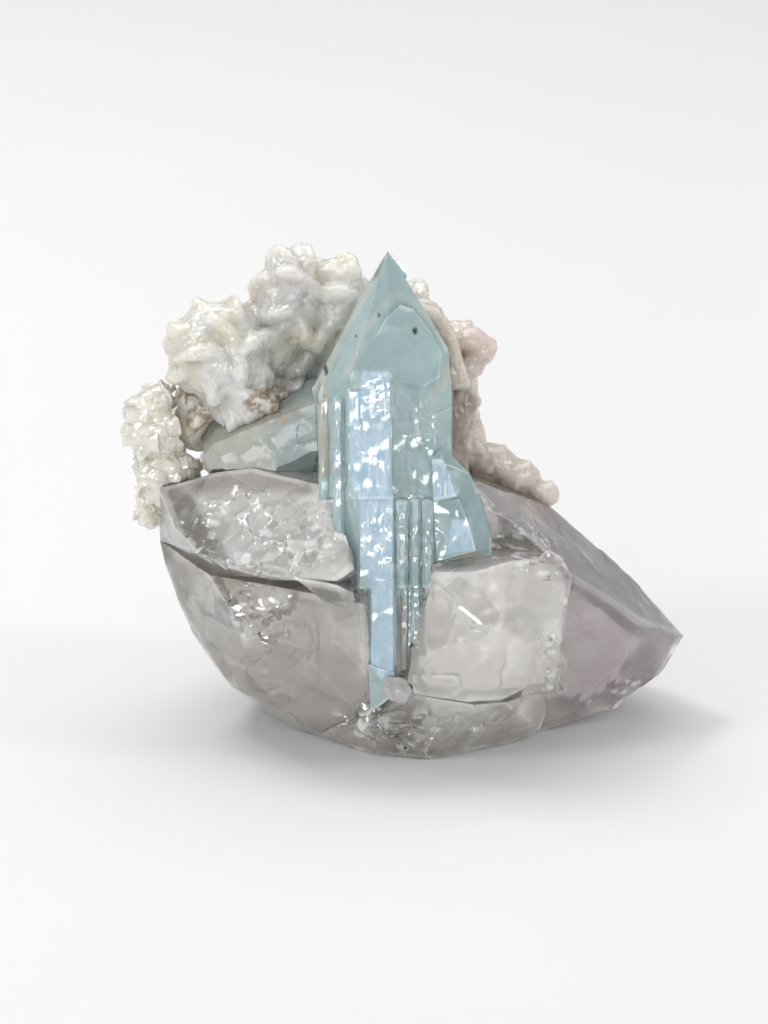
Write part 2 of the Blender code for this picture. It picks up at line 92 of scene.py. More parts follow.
def split_long_edges(piece, longest_at, rounds=6):
    """Halves the edges longer than longest_at(places) allows. Sharp edges stay sharp."""
    bm = bmesh.new()
    bm.from_mesh(piece.data)
    for _ in range(rounds):
        bmesh.ops.triangulate(bm, faces=bm.faces)
        edges = list(bm.edges)
        ends = np.array([(*edge.verts[0].co, *edge.verts[1].co) for edge in edges]) / MM
        lengths = np.linalg.norm(ends[:, :3] - ends[:, 3:], axis=1)
        too_long = np.nonzero(lengths > longest_at((ends[:, :3] + ends[:, 3:]) / 2))[0]
        bmesh.ops.subdivide_edges(bm, edges=[edges[k] for k in too_long], cuts=1)
    bmesh.ops.triangulate(bm, faces=bm.faces)
    bm.to_mesh(piece.data)
    bm.free()


def smooth_shade(mesh, sharp_angle=32.0):
    mesh.polygons.foreach_set("use_smooth", [True] * len(mesh.polygons))
    mesh.set_sharp_from_angle(angle=math.radians(sharp_angle))


def bulge(mesh, rounds=3):
    """How far each point stands out of the points around it, in millimetres, averaged a little."""
    points, normals = points_of(mesh), normals_of(mesh)
    ends = np.empty(len(mesh.edges) * 2, np.int32)
    mesh.edges.foreach_get("vertices", ends)
    first, second = ends[0::2], ends[1::2]
    count = np.bincount(ends, minlength=len(points))[:, None].clip(1)

    def mean_of_neighbours(values):
        total = np.zeros_like(values)
        np.add.at(total, first, values[second])
        np.add.at(total, second, values[first])
        return total / count

    around = points
    for _ in range(rounds):
        around = mean_of_neighbours(around)
    height = ((points - around) * normals).sum(axis=1, keepdims=True)
    return mean_of_neighbours(height)[:, 0]


def points_of(mesh):
    flat = np.empty(len(mesh.vertices) * 3)
    mesh.vertices.foreach_get("co", flat)
    return flat.reshape(-1, 3) / MM


def normals_of(mesh):
    flat = np.empty(len(mesh.vertices) * 3)
    mesh.vertex_normals.foreach_get("vector", flat)
    return flat.reshape(-1, 3)


def set_points(mesh, points):
    mesh.vertices.foreach_set("co", (points * MM).astype(np.float32).ravel())
    mesh.update()


def within(points, centre, reach):
    """1 in the middle of an ellipsoid, 0 outside it, with a soft edge."""
    away = np.linalg.norm((points - np.array(centre)) / np.array(reach), axis=1)
    return np.clip((1.15 - away) / 0.3, 0.0, 1.0)


def any_of(points, places):
    share = np.zeros(len(points))
    for centre, reach in places:
        share = np.maximum(share, within(points, centre, reach))
    return share


def signed_reach(points, corners):
    """How far inside an outline in the (x, z) plane each point lies; below zero is outside."""
    flat = points[:, (0, 2)]
    inside = np.zeros(len(flat), bool)
    nearest = np.full(len(flat), 1e9)
    for start, end in zip(corners, corners[1:] + corners[:1]):
        start, end = np.array(start), np.array(end)
        run = end - start
        share = np.clip((flat - start) @ run / (run @ run), 0.0, 1.0)
        nearest = np.minimum(nearest, np.linalg.norm(flat - start - share[:, None] * run, axis=1))
        crosses = (start[1] > flat[:, 1]) != (end[1] > flat[:, 1])
        rise = run[1] if run[1] else 1e-9
        inside ^= crosses & (flat[:, 0] < start[0] + (flat[:, 1] - start[1]) / rise * run[0])
    return np.where(inside, nearest, -nearest)


def patch(points, corners, soft=0.2):
    return np.clip(signed_reach(points, corners) / soft + 0.5, 0.0, 1.0)


def stripe(points, path, width, soft=0.15):
    """A band along a path in the (x, z) plane, which may be open."""
    nearest = np.full(len(points), 1e9)
    flat = points[:, (0, 2)]
    for start, end in zip(path, path[1:]):
        start, run = np.array(start), np.array(end) - np.array(start)
        share = np.clip((flat - start) @ run / (run @ run), 0.0, 1.0)
        nearest = np.minimum(nearest, np.linalg.norm(flat - start - share[:, None] * run, axis=1))
    return np.clip((width / 2 - nearest) / soft + 0.5, 0.0, 1.0)


def shade(red, green, blue):
    """A colour given as a screen shows it, as the linear values that a material takes."""
    values = np.array((red, green, blue)) / 255.0
    return np.where(values < 0.04045, values / 12.92, ((values + 0.055) / 1.055) ** 2.4)


def blend(tint, colour, share):
    share = np.asarray(share)[:, None]
    return tint * (1.0 - share) + np.asarray(colour) * share


def patches(points, size, low, high, seed):
    """Soft random blotches, from 0 to 1."""
    offset = Vector((seed * 3.7, seed * 1.9, seed * 8.3))
    values = np.array([noise.fractal(Vector(p) / size + offset, 0.6, 2.0, 4) for p in points])
    return np.clip((values - low) / (high - low), 0.0, 1.0)


def clearer(tint, power=0.6):
    """Lightens a colour that light meets twice, on its way in and out of a clear crystal."""
    return tint**power


def veils_and_glints(points, zones, size, tall, seed):
    """White sheets of tiny cracks inside a crystal, which also serve as painted glints: 1 on a sheet, 0
    between them.
    """
    offset = Vector((seed * 4.1, seed * 6.7, seed * 2.9))
    share = any_of(points, zones)
    films_and_glints = np.zeros(len(points))
    for k in np.nonzero(share > 0.01)[0]:
        x, y, z = points[k]
        spot = Vector((x, y, z / tall)) / size
        spot += noise.noise_vector(spot * 0.6 + offset) * 0.5 + offset
        distances, centres = noise.voronoi(spot)
        chosen = noise.cell(centres[0] * 51.3) > 0.35
        films_and_glints[k] = share[k] * chosen * min(1.0, max(0.0, (0.46 - distances[0]) / 0.12))
    return films_and_glints


def keep_on_mesh(mesh, name, values):
    if values.ndim == 2:
        store = mesh.attributes.new(name, "FLOAT_VECTOR", "POINT")
        store.data.foreach_set("vector", values.astype(np.float32).ravel())
    else:
        store = mesh.attributes.new(name, "FLOAT", "POINT")
        store.data.foreach_set("value", values.astype(np.float32))


def surface_tree(*pieces):
    vertices, faces, first = [], [], 0
    for piece in pieces:
        vertices += [vert.co.copy() for vert in piece.data.vertices]
        faces += [[first + k for k in face.vertices] for face in piece.data.polygons]
        first = len(vertices)
    return BVHTree.FromPolygons(vertices, faces)


def close_gap(piece, neighbours, reach=0.62, left=0.03):
    """Draws the skin up to its neighbour, where the two minerals have grown together."""
    tree = surface_tree(*neighbours)
    for vert in piece.data.vertices:
        near, _, _, distance = tree.find_nearest(vert.co, reach * MM)
        if near is None or distance <= left * MM:
            continue
        share = 1.0 - max(0.0, distance / MM - 0.45) / (reach - 0.45)
        vert.co = vert.co.lerp(near, share * (1.0 - left * MM / distance))
    piece.data.update()


# Relief


def wander(points, size, amount, seed):
    """Shifts points along a smooth random field, so that long straight edges lose their ruled look."""
    offset = Vector((seed * 7.1, seed * 3.3, seed * 5.7))
    moves = [noise.noise_vector(Vector(p) / size + offset) for p in points]
    return np.array(moves) * amount


def shells(points, size, depth, tilt, seed, share):
    """Heights of shell-shaped breaks: hollows that meet in sharp ridges, each tipped its own way.
    A depth below zero gives rounded swellings that meet in creases."""
    offset = Vector((seed * 2.3, seed * 9.1, seed * 4.9))
    heights = np.zeros(len(points))
    for k in np.nonzero(share > 0.01)[0]:
        spot = Vector(points[k])
        spot = (spot + noise.noise_vector(spot * 0.3 + offset) * size * 0.35) / size + offset
        distances, centres = noise.voronoi(spot)
        lean = noise.cell_vector(centres[0] * 37.7)
        hollow = min(distances[0] / 0.8, 1.0) ** 2 - 0.6
        step = (spot - centres[0]).dot(lean * 2.0 - Vector((1, 1, 1)))
        heights[k] = share[k] * (hollow * depth + step * tilt)
    return heights


BROKEN_QUARTZ = [
    ((-16.0, -10.0, 26.5), (9.5, 9.0, 4.6)),
    ((-16.5, -11.5, 17.4), (4.4, 6.0, 3.4)),
    ((2.0, -14.0, 3.8), (11.5, 8.0, 3.4)),
    ((15.5, -9.5, 25.0), (4.0, 6.0, 3.4)),
    ((26.5, -5.0, 3.8), (6.0, 6.0, 2.4)),
    ((17.8, -13.5, 13.4), (2.2, 5.0, 6.0)),
    ((-10.0, 13.0, 12.0), (12.0, 6.0, 10.0)),
    ((10.0, 13.0, 12.0), (12.0, 6.0, 9.0)),
]


def make_quartz():
    piece = solid_copy("quartz_matrix", "quartz_matrix_broken")
    split_long_edges(piece, lambda places: 0.72 - 0.34 * any_of(places, BROKEN_QUARTZ))
    mesh = piece.data
    points, normals = points_of(mesh), normals_of(mesh)
    broken = any_of(points, BROKEN_QUARTZ)
    everywhere = np.ones(len(points))
    heights = shells(points, 4.0, 0.40, 0.34, 1, broken)
    heights += shells(points * (0.8, 1.0, 0.42), 1.5, 0.0, 0.20, 2, broken)
    heights += shells(points, 7.5, 0.05, 0.09, 33, everywhere - broken)
    moved = points + normals * heights[:, None]
    moved += wander(points, 7.0, 0.30, 1) + wander(points, 1.6, 0.02, 2)
    low = points[:, 2] < 0.3
    moved[low, 2] = np.maximum(moved[low, 2], points[low, 2])
    moved[:, 2] = np.maximum(moved[:, 2], 0.0)
    set_points(mesh, moved)
    smooth_shade(mesh)
    paint_quartz(mesh, points, broken)
    return piece


def paint_quartz(mesh, points, broken):
    x, y, z = points.T
    grey, pale, lilac = shade(140, 134, 124), shade(224, 220, 212), shade(148, 133, 134)
    dusky, recess_shade = shade(128, 116, 117), shade(136, 124, 110)
    tint = np.tile(grey, (len(points), 1))
    tint = blend(tint, lilac, np.clip((x - 14.0) / 6.0, 0.0, 1.0))
    block = [(-0.5, 8.0), (1.0, 22.0), (4.0, 24.0), (17.5, 26.0), (20.0, 21.0), (16.5, 8.0), (8.0, 6.0)]
    front = np.clip((-9.5 - y) / 2.0, 0.0, 1.0)
    front_side = np.clip((-1.0 - y) / 3.0, 0.0, 1.0)
    tint = blend(tint, pale, patch(points, block, 2.5) * front)
    tint = blend(tint, dusky, patch(points, [(9.0, 29.5), (33.0, 8.5), (36.0, 12.0), (10.0, 36.0)], 1.5))
    # Painted shade: the recess under the ledge is made a darker brown-grey.
    undercut = [(-23.0, 22.2), (-20.5, 18.6), (-10.0, 20.8), (-9.0, 22.6), (-16.0, 22.4)]
    tint = blend(tint, recess_shade, patch(points, undercut, 1.2) * 0.7)
    upper_left = patch(points, [(-25.0, 29.5), (-7.0, 31.5), (-6.0, 22.0), (-19.0, 23.0)], 1.0) * front_side
    tint = blend(tint, shade(204, 203, 197), upper_left * 0.9)
    tint = blend(tint, shade(230, 229, 226), broken * 0.5 * patches(points, 4.0, -0.1, 0.4, 4))
    tint = blend(tint, shade(204, 201, 195), 0.3 * patches(points, 9.0, 0.0, 0.8, 5))
    out = bulge(mesh, 2)
    # Painted highlight: the outstanding edges are made near white and less clear.
    painted_rim_highlight = np.clip((out - 0.028) / 0.05, 0.0, 1.0) * (0.45 + 0.4 * broken)
    tint = blend(tint, shade(244, 243, 240), painted_rim_highlight)
    # Painted shade: darker towards the floor, within about 5 mm of it, except where the edges carry the
    # painted highlight.
    tint = blend(tint, shade(122, 116, 108), np.clip((5.0 - z) / 3.0, 0.0, 1.0) * 0.5 * (1.0 - painted_rim_highlight))
    # White crack sheets, which also serve as painted glints, are made near white and less clear.
    films_and_glints = veils_and_glints(points, BROKEN_QUARTZ[:6], 2.0, 0.6, 21) * 0.6
    tint = blend(clearer(tint), shade(250, 250, 248), films_and_glints)
    keep_on_mesh(mesh, "tint", tint)
    keep_on_mesh(mesh, "clear", 0.74 - 0.4 * films_and_glints - 0.3 * painted_rim_highlight - 0.24 * upper_left)


GROOVE_FREE = [((-1.5, -3.0, 50.0), (9.0, 12.0, 8.5))]


def beryl_grooves(points, normals):
    """Fine grooves that run up a beryl prism, and low swellings where growth paused."""
    heights = np.zeros(len(points))
    calm = any_of(points, GROOVE_FREE)
    for k, (x, y, z) in enumerate(points):
        upright = (1.0 - min(1.0, abs(normals[k][2]) * 1.6)) * (1.0 - calm[k])
        fine = noise.noise(Vector((x * 2.2, y * 2.2, z * 0.12)))
        broad = noise.noise(Vector((x * 0.8, y * 0.8, z * 0.10 + 5.0)))
        bumps = noise.noise(Vector((x * 0.5, y * 0.5, z * 0.5 + 9.0)))
        heights[k] = upright * (fine * 0.05 + broad * 0.06) + bumps * 0.07
    return heights


BROKEN_BERYL = [
    ((-7.6, -7.5, 34.5), (1.0, 3.0, 6.5)),
    ((-0.4, -11.0, 26.4), (4.6, 3.0, 4.2)),
    ((2.3, -8.0, 39.0), (1.5, 2.0, 3.0)),
    ((1.4, -12.5, 17.0), (1.9, 3.0, 5.0)),
    ((-3.0, -8.5, 42.6), (2.0, 2.0, 2.6)),
    ((4.4, -10.0, 32.2), (1.0, 2.0, 1.0)),
]


def make_beryl():
    piece = solid_copy("aquamarine_crystal", "aquamarine_crystal_grown")
    split_long_edges(piece, lambda places: np.where(places[:, 1] < -2.0, 0.34, 0.9))
    mesh = piece.data
    points, normals = points_of(mesh), normals_of(mesh)
    heights = beryl_grooves(points, normals)
    heights += shells(points, 1.1, 0.09, 0.07, 5, any_of(points, BROKEN_BERYL))
    set_points(mesh, points + normals * heights[:, None] + wander(points, 6.0, 0.12, 4))
    smooth_shade(mesh)
    paint_beryl(mesh, points)
    return piece


# Column faces painted bluer and less clear: a painted reflection of the studio light on the front prism
# faces.
PAINTED_REFLECTION_COLUMNS = [
    [(-4.9, 45.5), (-2.0, 45.5), (-1.5, 30.8), (-5.2, 30.8), (-6.4, 33.0), (-6.4, 43.3), (-5.0, 43.4)],
    [(-5.2, 30.8), (-1.5, 30.8), (-1.3, 22.9), (-4.1, 21.6), (-5.1, 23.4)],
    [(-4.1, 22.0), (-1.2, 22.9), (-1.0, 11.5), (-2.4, 9.6), (-4.0, 11.9)],
    [(3.0, 35.4), (4.2, 35.6), (5.9, 31.2), (3.2, 30.8)],
    [(5.2, 28.6), (7.3, 28.4), (8.0, 25.0), (4.6, 24.6)],
]
LEFT_BEVEL = [(-4.1, 53.5), (-6.5, 49.6), (-9.1, 44.4), (-10.9, 41.2), (-9.6, 41.7), (-8.5, 44.5), (-6.6, 48.5), (-3.3, 54.1)]
CREAM_EDGE = [(-8.4, 43.8), (-9.6, 41.4), (-10.2, 41.0), (-10.2, 32.4), (-8.3, 33.0), (-8.4, 36.3), (-8.8, 39.0), (-8.7, 41.2)]
TIP_FACET = [(-2.1, 57.2), (-3.0, 54.8), (-4.0, 53.7), (-4.6, 54.0), (-2.2, 57.6)]
SHIELD_EDGE = [(-6.6, 45.0), (-5.4, 47.3), (-4.6, 49.4), (-2.5, 51.7), (-1.4, 52.7), (0.2, 52.5), (1.8, 50.8), (3.2, 49.2), (4.6, 47.0)]
SHOULDER = [(4.8, 46.2), (5.3, 44.2), (4.4, 42.6), (2.9, 41.2), (1.6, 42.0), (2.8, 42.6), (3.6, 44.0)]
SPECKS = [(-3.1, 50.8, 0.2), (1.0, 49.3, 0.3), (-9.1, 44.0, 0.3), (-5.7, 48.4, 0.12)]


def paint_beryl(mesh, points):
    x, y, z = points.T
    front = np.clip((1.5 - y) / 2.0, 0.0, 1.0)
    tint = np.tile(shade(196, 228, 230), (len(points), 1))
    tint = blend(tint, shade(164, 200, 202), np.clip((41.5 - z) / 4.0, 0.0, 1.0) * (x > -1.6) * 0.7)
    tint = blend(tint, shade(208, 236, 236), 0.4 * patches(points, 5.0, -0.1, 0.5, 8))
    tint = blend(tint, shade(236, 244, 230), patch(points, LEFT_BEVEL, 0.3) * front)
    # Painted reflection: the column faces take a bluer tint.
    for outline in PAINTED_REFLECTION_COLUMNS:
        tint = blend(tint, shade(155, 191, 213), patch(points, outline, 0.16) * front)
    tint = blend(tint, shade(230, 244, 238), stripe(points, SHIELD_EDGE, 0.75, 0.4) * front * 0.8)
    tint = blend(tint, shade(232, 238, 226), patch(points, SHOULDER, 0.4) * front * 0.85)
    tint = blend(tint, shade(214, 206, 180), patch(points, CREAM_EDGE, 0.3) * front * 0.85)
    tint = blend(tint, shade(160, 150, 148), patch(points, TIP_FACET, 0.15) * front)
    slot = [(-1.0, 19.4), (0.0, 19.4), (0.4, 10.8), (-1.1, 10.4)]
    tint = blend(tint, shade(150, 138, 118), patch(points, slot, 0.25) * front * 0.8)
    tint = blend(tint, shade(206, 196, 150), within(points, (7.2, -10.2, 24.0), (1.4, 2.0, 0.6)) * 0.8)
    for speck_x, speck_z, radius in SPECKS:
        away = np.hypot(x - speck_x, (z - speck_z) * 0.8)
        tint = blend(tint, shade(20, 20, 18), np.clip((radius - away) / 0.12 + 0.5, 0, 1) * front)
    # Painted highlight: the outstanding edges are made paler and less clear.
    painted_rim_highlight = np.clip((bulge(mesh, 2) - 0.02) / 0.05, 0.0, 1.0)
    tint = blend(tint, shade(226, 236, 236), painted_rim_highlight * 0.5)
    # How far each point lies on the painted reflection, which also makes those faces less clear.
    painted_reflection = np.zeros(len(points))
    for outline in PAINTED_REFLECTION_COLUMNS:
        painted_reflection = np.maximum(painted_reflection, patch(points, outline, 0.16) * front)
    grown = any_of(points, BROKEN_BERYL) * front
    keep_on_mesh(mesh, "tint", clearer(tint, 0.75))
    keep_on_mesh(mesh, "clear", 0.6 - 0.38 * painted_reflection - 0.2 * painted_rim_highlight)
    # The broken value also takes a share of the painted reflection, and in the material it places white
    # sheets that serve partly as painted glints.
    keep_on_mesh(mesh, "broken", np.maximum(grown, 0.3 * painted_reflection))


def make_side_beryl():
    piece = solid_copy("aquamarine_side_crystal", "aquamarine_side_crystal_grown")
    split_long_edges(piece, lambda places: np.full(len(places), 0.4))
    mesh = piece.data
    points, normals = points_of(mesh), normals_of(mesh)
    everywhere = np.ones(len(points))
    heights = shells(points, 3.4, 0.10, 0.10, 6, everywhere)
    set_points(mesh, points + normals * heights[:, None] + wander(points, 3.0, 0.2, 6))
    smooth_shade(mesh)
    x = points[:, 0]
    tint = np.tile(shade(176, 196, 196), (len(points), 1))
    tint = blend(tint, shade(216, 215, 200), np.clip((-14.5 - x) / 3.0, 0.0, 1.0))
    tint = blend(tint, shade(206, 214, 208), 0.6 * patches(points, 3.0, 0.0, 0.6, 12))
    dark = within(points, (-12.0, -4.0, 36.5), (1.0, 3.0, 1.1)) * patches(points, 0.8, -0.2, 0.3, 13)
    tint = blend(tint, shade(84, 92, 92), dark * 0.8)
    stained = within(points, (-15.2, -2.0, 38.4), (3.0, 4.0, 1.3)) * patches(points, 0.9, -0.3, 0.1, 17)
    tint = blend(tint, shade(146, 126, 92), stained * 0.8)
    keep_on_mesh(mesh, "tint", clearer(tint, 0.8))
    keep_on_mesh(mesh, "clear", 0.5 - 0.3 * np.maximum(dark, stained))
    return piece


def soften(mesh, rounds, share=0.5):
    bm = bmesh.new()
    bm.from_mesh(mesh)
    for _ in range(rounds):
        bmesh.ops.smooth_vert(
            bm, verts=bm.verts, factor=share, use_axis_x=True, use_axis_y=True, use_axis_z=True
        )
    bm.to_mesh(mesh)
    bm.free()


ROSETTE_HEARTS = [
    ((-20.5, -4.5, 43.5), 6.5),
    ((-15.0, -3.0, 38.5), 4.5),
    ((-11.0, -1.0, 50.0), 7.0),
]


def petals(points, depth, seed):
    """Heights of overlapping rounded blades, long along the way out from each rosette's heart."""
    hearts = [(Vector(heart), reach) for heart, reach in ROSETTE_HEARTS]
    heights = np.zeros(len(points))
    for k in range(len(points)):
        spot = Vector(points[k])
        heart, reach = min(hearts, key=lambda item: (spot - item[0]).length / item[1])
        way = spot - heart
        along = way.length
        spot = way.normalized() * 3.4 + Vector((0.35, 0.55, 0.75)) * along * 0.42
        spot += noise.noise_vector(Vector(points[k]) * 0.5) * 0.35 + Vector((seed, reach, seed))
        distances, centres = noise.voronoi(spot)
        lean = noise.cell_vector(centres[0] * 37.7)
        step = (spot - centres[0]).dot(lean * 2.0 - Vector((1, 1, 1)))
        heights[k] = depth * (0.5 - min(distances[0] / 0.75, 1.0) ** 2 + 0.5 * step)
    return heights


STAINS = [
    ((-25.4, 1.8, 39.2), (1.8, 5.0, 0.9), 0.9),
    ((-24.0, 0.0, 37.0), (1.5, 5.0, 1.9), 0.7),
    ((-22.6, -2.6, 33.9), (1.5, 5.0, 0.9), 0.8),
    ((-15.4, -3.0, 39.6), (3.4, 6.0, 1.5), 0.8),
]


def make_albite():
    piece = solid_copy("albite_rosettes", "albite_rosettes_bladed")
    reskin(piece, ALBITE_CELL)
    soften(piece.data, 12, 0.5)
    mesh = piece.data
    points, normals = points_of(mesh), normals_of(mesh)
    heights = petals(points, 0.16, 3.0) + shells(points, 2.3, -0.03, 0.20, 8, np.ones(len(points)))
    set_points(mesh, points + normals * (heights + 0.05)[:, None] + wander(points, 2.5, 0.12, 7))
    soften(mesh, 1, 0.35)
    smooth_shade(mesh, 40.0)
    paint_albite(mesh, points)
    return piece


def paint_albite(mesh, points):
    x, y, z = points.T
    tint = np.tile(shade(202, 201, 196), (len(points), 1))
    cream, pink, brown = shade(200, 194, 174), shade(198, 188, 178), shade(132, 108, 70)
    tint = blend(tint, cream, 0.6 * patches(points, 4.5, -0.15, 0.45, 14))
    tint = blend(tint, shade(216, 215, 213), within(points, (-19.5, -3.5, 42.5), (4.5, 4.0, 4.5)) * 0.8)
    tint = blend(tint, shade(192, 191, 191), within(points, (-14.5, 2.0, 51.5), (4.5, 5.0, 4.5)) * 0.6)
    tint = blend(tint, pink, np.clip((x - 1.0) / 3.0, 0.0, 1.0) * 0.9)
    tint = blend(tint, shade(196, 182, 178), within(points, (9.0, 4.5, 43.8), (2.6, 4.0, 3.2)) * 0.8)
    tint = blend(tint, shade(138, 124, 112), within(points, (6.6, 2.0, 36.4), (2.6, 5.0, 3.6)) * 0.9)
    for centre, reach, strength in STAINS:
        stained = within(points, centre, reach) * patches(points, 0.9, -0.1, 0.15, 15)
        tint = blend(tint, brown, stained * strength)
    # Painted shade: the hollows of the surface are made darker and browner.
    hollow = np.clip((-0.02 - bulge(mesh, 2)) / 0.06, 0.0, 1.0)
    tint = blend(tint, shade(146, 134, 114), hollow * 0.5)
    keep_on_mesh(mesh, "tint", tint)


def make_cluster():
    piece = solid_copy("albite_cluster", "albite_cluster_tablets")
    split_long_edges(piece, lambda places: np.full(len(places), 0.45))
    mesh = piece.data
    points, normals = points_of(mesh), normals_of(mesh)
    everywhere = np.ones(len(points))
    heights = shells(points, 1.3, -0.18, 0.16, 9, everywhere)
    set_points(mesh, points + normals * heights[:, None])
    smooth_shade(mesh, 25.0)
    tint = np.tile(shade(240, 236, 225), (len(points), 1))
    tint = blend(tint, shade(230, 226, 204), 0.8 * patches(points, 2.4, -0.1, 0.4, 16))
    # Painted shade: the hollows of the surface are made darker.
    hollow = np.clip((-0.02 - bulge(mesh, 3)) / 0.10, 0.0, 1.0)
    tint = blend(tint, shade(186, 178, 154), hollow * 0.4)
    keep_on_mesh(mesh, "tint", clearer(tint, 0.8))
    return piece


# Materials


class Recipe:
    """A material being built: adds nodes and links, and hands back their outputs."""

    def __init__(self, name):
        self.material = bpy.data.materials.new(name)
        self.material.use_nodes = True
        self.tree = self.material.node_tree
        self.shader = self.tree.nodes["Principled BSDF"]
        self.place = self.add("ShaderNodeTexCoord").outputs["Object"]

    def add(self, kind, **values):
        node = self.tree.nodes.new(kind)
        for key, value in values.items():
            setattr(node, key, value)
        return node

    def feed(self, socket, value):
        if isinstance(value, bpy.types.NodeSocket):
            self.tree.links.new(value, socket)
        else:
            socket.default_value = value

    def maths(self, operation, a, b=0.0, c=0.0):
        node = self.add("ShaderNodeMath", operation=operation)
        for socket, value in zip(node.inputs, (a, b, c)):
            self.feed(socket, value)
        return node.outputs[0]

    def stretched(self, tall):
        """Places squeezed along the height, so that a pattern on them runs upward."""
        node = self.add("ShaderNodeVectorMath", operation="MULTIPLY")
        self.feed(node.inputs[0], self.place)
        node.inputs[1].default_value = (1.0, 1.0, 1.0 / tall)
        return node.outputs[0]

    def cloud(self, size, detail=3.0, rough=0.5, warp=0.0, tall=1.0):
        """Soft noise with patches about this many millimetres across."""
        node = self.add("ShaderNodeTexNoise")
        self.feed(node.inputs["Vector"], self.place if tall == 1.0 else self.stretched(tall))
        node.inputs["Scale"].default_value = 1.0 / (size * MM)
        node.inputs["Detail"].default_value = detail
        node.inputs["Roughness"].default_value = rough
        node.inputs["Distortion"].default_value = warp
        return node.outputs["Fac"]

    def warped(self, size, amount):
        """Places pushed about by this many millimetres, so that straight cells bend."""
        push = self.add("ShaderNodeTexNoise")
        self.feed(push.inputs["Vector"], self.place)
        push.inputs["Scale"].default_value = 1.0 / (size * MM)
        node = self.add("ShaderNodeVectorMath", operation="MULTIPLY_ADD")
        self.feed(node.inputs[0], push.outputs["Color"])
        node.inputs[1].default_value = (2.0 * amount * MM,) * 3
        self.feed(node.inputs[2], self.place)
        return node.outputs[0]

    def cells(self, size, feature="F1", output="Distance", bend=0.0):
        node = self.add("ShaderNodeTexVoronoi", feature=feature)
        self.feed(node.inputs["Vector"], self.warped(size * 1.5, bend) if bend else self.place)
        node.inputs["Scale"].default_value = 1.0 / (size * MM)
        return node.outputs[output]

    def ramp(self, value, low, high, start=0.0, end=1.0):
        node = self.add("ShaderNodeMapRange", interpolation_type="SMOOTHSTEP")
        for name, item in (("Value", value), ("From Min", low), ("From Max", high)):
            self.feed(node.inputs[name], item)
        node.inputs["To Min"].default_value = start
        node.inputs["To Max"].default_value = end
        return node.outputs["Result"]

    def axis(self, letter):
        node = self.add("ShaderNodeSeparateXYZ")
        self.feed(node.inputs[0], self.place)
        return node.outputs[letter]

    def spot(self, centre, reach, edge=0.35):
        """1 inside an ellipsoid, 0 outside it."""
        shift = self.add("ShaderNodeVectorMath", operation="SUBTRACT")
        self.feed(shift.inputs[0], self.place)
        shift.inputs[1].default_value = Vector(centre) * MM
        scale = self.add("ShaderNodeVectorMath", operation="DIVIDE")
        self.feed(scale.inputs[0], shift.outputs[0])
        scale.inputs[1].default_value = Vector(reach) * MM
        length = self.add("ShaderNodeVectorMath", operation="LENGTH")
        self.feed(length.inputs[0], scale.outputs[0])
        return self.ramp(length.outputs["Value"], 1.0 - edge, 1.0 + edge, 1.0, 0.0)

    def mix(self, share, below, above):
        node = self.add("ShaderNodeMix", data_type="RGBA", blend_type="MIX")
        self.feed(node.inputs[0], share)
        for socket, value in ((node.inputs[6], below), (node.inputs[7], above)):
            self.feed(socket, (*value, 1.0) if isinstance(value, tuple) else value)
        return node.outputs[2]

    def bump(self, height, distance, strength=1.0):
        node = self.add("ShaderNodeBump")
        self.feed(node.inputs["Height"], height)
        node.inputs["Distance"].default_value = distance * MM
        node.inputs["Strength"].default_value = strength
        self.feed(self.shader.inputs["Normal"], node.outputs[0])

    def absorb(self, colour, density):
        node = self.add("ShaderNodeVolumeAbsorption")
        node.inputs["Color"].default_value = (*colour, 1.0)
        node.inputs["Density"].default_value = density
        output = self.tree.nodes["Material Output"]
        self.tree.links.new(node.outputs[0], output.inputs["Volume"])

    def set(self, **values):
        for key, value in values.items():
            self.feed(self.shader.inputs[key.replace("_", " ")], value)


def painted(paint, mottle=0.06, size=1.5):
    """The colour kept on the mesh, made a little uneven at a finer scale than its points."""
    colour = paint.add("ShaderNodeAttribute", attribute_name="tint").outputs["Vector"]
    scale = paint.ramp(paint.cloud(size, detail=5.0), 0.3, 0.7, 1.0 - mottle, 1.0 + mottle)
    node = paint.add("ShaderNodeVectorMath", operation="SCALE")
    paint.feed(node.inputs[0], colour)
    paint.feed(node.inputs["Scale"], scale)
    return node.outputs[0]


def streaked(paint, colour, share, size, tall):
    """White sheets and pale blotches of healed cracks that also serve as painted glints, and thin dark
    lines of healed cracks, where the mesh says the crystal is broken.
    """
    pattern = paint.cloud(size, detail=2.0, rough=0.4, warp=0.5, tall=tall)
    blotch = paint.maths("MULTIPLY", paint.ramp(paint.cloud(size * 1.7, tall=1.6), 0.5, 0.56), share)
    # White sheets of healed cracks, partly painted glints.
    film_and_glint = paint.maths("MULTIPLY", paint.ramp(pattern, 0.585, 0.605), share)
    line = paint.maths("MULTIPLY", paint.ramp(pattern, 0.560, 0.575), share)
    colour = paint.mix(paint.maths("MULTIPLY", blotch, 0.4), colour, (0.84, 0.93, 1.0))
    colour = paint.mix(paint.maths("MULTIPLY", line, 0.3), colour, (0.36, 0.50, 0.58))
    paint.bump(paint.maths("MULTIPLY", paint.ramp(pattern, 0.5, 0.66), share), 0.10, 0.6)
    return paint.mix(film_and_glint, colour, (0.92, 0.98, 1.0))


def clearness(paint):
    return paint.add("ShaderNodeAttribute", attribute_name="clear").outputs["Fac"]


